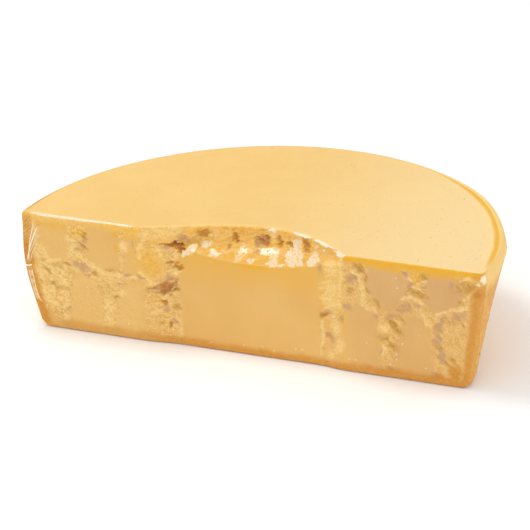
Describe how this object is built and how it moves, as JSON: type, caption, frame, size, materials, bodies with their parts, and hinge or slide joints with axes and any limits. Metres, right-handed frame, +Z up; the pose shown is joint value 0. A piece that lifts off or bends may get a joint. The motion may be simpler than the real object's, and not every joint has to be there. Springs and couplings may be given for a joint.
{
  "type": "parmesan cheese",
  "caption": "Half of a hard grating-cheese wheel, sawn flat on top and broken open along the front, with rind round the side and base, in clear shrink film.",
  "frame": {"origin": "middle of the bounding box, on the flat underside that the cheese rests on", "axes": "+X along the broken front face, to the right as it is looked at; +Y from the front face to the round back; +Z up"},
  "size_m": [0.4396, 0.226, 0.11],
  "materials": {
    "paste": "satin",
    "rind": "satin",
    "film": "gloss"
  },
  "bodies": {
    "root": {"parmesan_half": "paste"}
  },
  "joints": []
}
